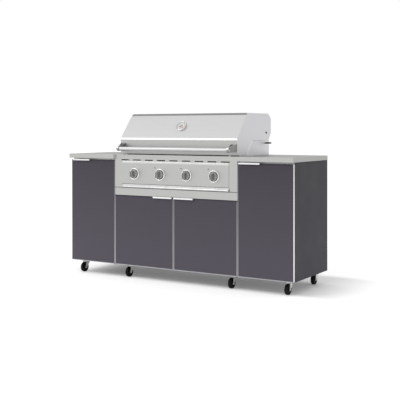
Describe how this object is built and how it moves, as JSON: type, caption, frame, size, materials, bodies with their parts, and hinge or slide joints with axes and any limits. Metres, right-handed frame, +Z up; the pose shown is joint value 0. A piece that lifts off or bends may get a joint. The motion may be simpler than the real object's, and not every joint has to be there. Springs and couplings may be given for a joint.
{
  "type": "outdoor kitchen island",
  "caption": "Outdoor kitchen island: slate cabinets on casters with side counters and a built-in gas grill with hinged hood, knobs, edge-pull doors and a drip tray.",
  "frame": {"origin": "on the floor under the middle of the bounding box", "axes": "+X to the right seen from the front, +Y to the back, +Z up; doors and knobs face -Y"},
  "size_m": [1.8462, 0.619, 1.189],
  "materials": {
    "slate": "fine textured slate grey powder coat",
    "brushed_steel": "horizontally brushed stainless steel",
    "polished_steel": "satin polished stainless steel",
    "aluminium": "satin anodised aluminium profile",
    "cast_steel": "dull solid stainless bars and castings",
    "chrome": "bright chromed ring",
    "knob_metal": "satin grey zinc die casting",
    "dial": "white dial under a clear cover in a steel ring",
    "zinc": "zinc-plated pressed steel",
    "caster_rubber": "hard black rubber tread on a black core"
  },
  "bodies": {
    "island": {"left_cabinet": "slate", "centre_cabinet": "slate", "right_cabinet": "slate", "left_countertop": "brushed_steel", "right_countertop": "brushed_steel", "grill_fascia": "brushed_steel", "firebox": "brushed_steel", "control_panel": "brushed_steel", "gas_rail": "brushed_steel", "burner_1": "brushed_steel", "burner_2": "brushed_steel", "burner_3": "brushed_steel", "burner_4": "brushed_steel", "left_flame_tamer": "brushed_steel", "right_flame_tamer": "brushed_steel", "left_cooking_grate": "cast_steel", "right_cooking_grate": "cast_steel", "warming_rack": "polished_steel", "knob_bezel_1": "chrome", "knob_bezel_2": "chrome", "knob_bezel_3": "chrome", "knob_bezel_4": "chrome"},
    "left_door": {"left_door_frame": "aluminium", "left_door_panel": "slate", "left_door_pull": "aluminium"},
    "centre_left_door": {"centre_left_door_frame": "aluminium", "centre_left_door_panel": "slate", "centre_left_door_pull": "aluminium"},
    "centre_right_door": {"centre_right_door_frame": "aluminium", "centre_right_door_panel": "slate", "centre_right_door_pull": "aluminium"},
    "right_door": {"right_door_frame": "aluminium", "right_door_panel": "slate", "right_door_pull": "aluminium"},
    "hood": {"lid": "polished_steel", "lid_handle": "polished_steel", "left_handle_bracket": "cast_steel", "right_handle_bracket": "cast_steel", "thermometer": "dial"},
    "tray": {"drip_tray": "polished_steel"},
    "knob_a": {"knob_1": "knob_metal"},
    "knob_b": {"knob_2": "knob_metal"},
    "knob_c": {"knob_3": "knob_metal"},
    "knob_d": {"knob_4": "knob_metal"},
    "far_left_front_fork": {"far_left_front_caster_fork": "zinc"},
    "far_left_front_wheel": {"far_left_front_caster_wheel": "caster_rubber"},
    "far_left_rear_fork": {"far_left_rear_caster_fork": "zinc"},
    "far_left_rear_wheel": {"far_left_rear_caster_wheel": "caster_rubber"},
    "mid_left_front_fork": {"mid_left_front_caster_fork": "zinc"},
    "mid_left_front_wheel": {"mid_left_front_caster_wheel": "caster_rubber"},
    "mid_left_rear_fork": {"mid_left_rear_caster_fork": "zinc"},
    "mid_left_rear_wheel": {"mid_left_rear_caster_wheel": "caster_rubber"},
    "mid_right_front_fork": {"mid_right_front_caster_fork": "zinc"},
    "mid_right_front_wheel": {"mid_right_front_caster_wheel": "caster_rubber"},
    "mid_right_rear_fork": {"mid_right_rear_caster_fork": "zinc"},
    "mid_right_rear_wheel": {"mid_right_rear_caster_wheel": "caster_rubber"},
    "far_right_front_fork": {"far_right_front_caster_fork": "zinc"},
    "far_right_front_wheel": {"far_right_front_caster_wheel": "caster_rubber"},
    "far_right_rear_fork": {"far_right_rear_caster_fork": "zinc"},
    "far_right_rear_wheel": {"far_right_rear_caster_wheel": "caster_rubber"}
  },
  "joints": [
    {"name": "left_door_hinge", "type": "hinge", "parent": "island", "child": "left_door", "pos_m": [-0.5165, -0.248, 0.473], "axis": [0, 0, 1], "range_deg": [0, 86]},
    {"name": "centre_left_door_hinge", "type": "hinge", "parent": "island", "child": "centre_left_door", "pos_m": [-0.4995, -0.248, 0.346], "axis": [0, 0, -1], "range_deg": [0, 86]},
    {"name": "centre_right_door_hinge", "type": "hinge", "parent": "island", "child": "centre_right_door", "pos_m": [0.4995, -0.248, 0.346], "axis": [0, 0, 1], "range_deg": [0, 95]},
    {"name": "right_door_hinge", "type": "hinge", "parent": "island", "child": "right_door", "pos_m": [0.9075, -0.248, 0.473], "axis": [0, 0, 1], "range_deg": [0, 95]},
    {"name": "hood_hinge", "type": "hinge", "parent": "island", "child": "hood", "pos_m": [0, 0.2195, 1.052], "axis": [-1, 0, 0], "range_deg": [0, 85]},
    {"name": "tray_slide", "type": "slide", "parent": "island", "child": "tray", "axis": [0, -1, 0], "range_m": [0, 0.38]},
    {"name": "knob_a_turn", "type": "hinge", "parent": "island", "child": "knob_a", "pos_m": [-0.33, -0.28, 0.757], "axis": [0, 1, 0], "range_deg": [-130, 0]},
    {"name": "knob_b_turn", "type": "hinge", "parent": "island", "child": "knob_b", "pos_m": [-0.11, -0.28, 0.757], "axis": [0, 1, 0], "range_deg": [-130, 0]},
    {"name": "knob_c_turn", "type": "hinge", "parent": "island", "child": "knob_c", "pos_m": [0.11, -0.28, 0.757], "axis": [0, 1, 0], "range_deg": [-130, 0]},
    {"name": "knob_d_turn", "type": "hinge", "parent": "island", "child": "knob_d", "pos_m": [0.33, -0.28, 0.757], "axis": [0, 1, 0], "range_deg": [-130, 0]},
    {"name": "far_left_front_swivel", "type": "hinge", "parent": "island", "child": "far_left_front_fork", "pos_m": [-0.846, -0.1615, 0.08], "axis": [0, 0, 1], "continuous": true},
    {"name": "far_left_front_roll", "type": "hinge", "parent": "far_left_front_fork", "child": "far_left_front_wheel", "pos_m": [-0.846, -0.1865, 0.03607], "axis": [1, 0, 0], "continuous": true},
    {"name": "far_left_rear_swivel", "type": "hinge", "parent": "island", "child": "far_left_rear_fork", "pos_m": [-0.846, 0.2595, 0.08], "axis": [0, 0, 1], "continuous": true},
    {"name": "far_left_rear_roll", "type": "hinge", "parent": "far_left_rear_fork", "child": "far_left_rear_wheel", "pos_m": [-0.846, 0.2345, 0.03607], "axis": [1, 0, 0], "continuous": true},
    {"name": "mid_left_front_swivel", "type": "hinge", "parent": "island", "child": "mid_left_front_fork", "pos_m": [-0.428, -0.1615, 0.08], "axis": [0, 0, 1], "continuous": true},
    {"name": "mid_left_front_roll", "type": "hinge", "parent": "mid_left_front_fork", "child": "mid_left_front_wheel", "pos_m": [-0.428, -0.1865, 0.03607], "axis": [1, 0, 0], "continuous": true},
    {"name": "mid_left_rear_swivel", "type": "hinge", "parent": "island", "child": "mid_left_rear_fork", "pos_m": [-0.428, 0.2595, 0.08], "axis": [0, 0, 1], "continuous": true},
    {"name": "mid_left_rear_roll", "type": "hinge", "parent": "mid_left_rear_fork", "child": "mid_left_rear_wheel", "pos_m": [-0.428, 0.2345, 0.03607], "axis": [1, 0, 0], "continuous": true},
    {"name": "mid_right_front_swivel", "type": "hinge", "parent": "island", "child": "mid_right_front_fork", "pos_m": [0.428, -0.1615, 0.08], "axis": [0, 0, 1], "continuous": true},
    {"name": "mid_right_front_roll", "type": "hinge", "parent": "mid_right_front_fork", "child": "mid_right_front_wheel", "pos_m": [0.428, -0.1865, 0.03607], "axis": [1, 0, 0], "continuous": true},
    {"name": "mid_right_rear_swivel", "type": "hinge", "parent": "island", "child": "mid_right_rear_fork", "pos_m": [0.428, 0.2595, 0.08], "axis": [0, 0, 1], "continuous": true},
    {"name": "mid_right_rear_roll", "type": "hinge", "parent": "mid_right_rear_fork", "child": "mid_right_rear_wheel", "pos_m": [0.428, 0.2345, 0.03607], "axis": [1, 0, 0], "continuous": true},
    {"name": "far_right_front_swivel", "type": "hinge", "parent": "island", "child": "far_right_front_fork", "pos_m": [0.846, -0.1615, 0.08], "axis": [0, 0, 1], "continuous": true},
    {"name": "far_right_front_roll", "type": "hinge", "parent": "far_right_front_fork", "child": "far_right_front_wheel", "pos_m": [0.846, -0.1865, 0.03607], "axis": [1, 0, 0], "continuous": true},
    {"name": "far_right_rear_swivel", "type": "hinge", "parent": "island", "child": "far_right_rear_fork", "pos_m": [0.846, 0.2595, 0.08], "axis": [0, 0, 1], "continuous": true},
    {"name": "far_right_rear_roll", "type": "hinge", "parent": "far_right_rear_fork", "child": "far_right_rear_wheel", "pos_m": [0.846, 0.2345, 0.03607], "axis": [1, 0, 0], "continuous": true}
  ]
}
